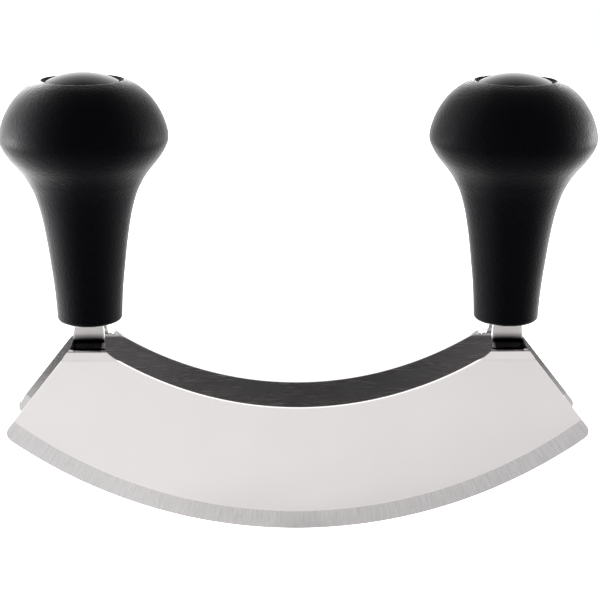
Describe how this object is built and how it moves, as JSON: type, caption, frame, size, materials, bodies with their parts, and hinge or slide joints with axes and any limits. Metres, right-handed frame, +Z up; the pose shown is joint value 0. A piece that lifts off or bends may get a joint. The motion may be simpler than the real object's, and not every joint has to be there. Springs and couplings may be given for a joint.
{
  "type": "mezzaluna",
  "caption": "Rocking herb cutter with twin crescent steel blades side by side and a black knob handle over the pair of tangs at each end.",
  "frame": {"origin": "midway between the two blades and the two handles, level with the lowest points of the cutting edges", "axes": "+X along the blades from the left handle to the right handle, +Y from the front blade to the rear blade, +Z up along the handles"},
  "size_m": [0.1448, 0.0408, 0.1138],
  "materials": {
    "blade_steel": "satin stainless sheet, ground band along the edge with fine marks across it",
    "handle_black": "black moulded plastic with a fine grain",
    "cap_black": "smooth black moulded plastic, half gloss",
    "washer_steel": "plain stamped steel, hidden"
  },
  "bodies": {
    "root": {"front_blade": "blade_steel", "rear_blade": "blade_steel", "left_handle": "handle_black", "right_handle": "handle_black", "left_washer": "washer_steel", "right_washer": "washer_steel", "left_cap": "cap_black", "right_cap": "cap_black"}
  },
  "joints": []
}
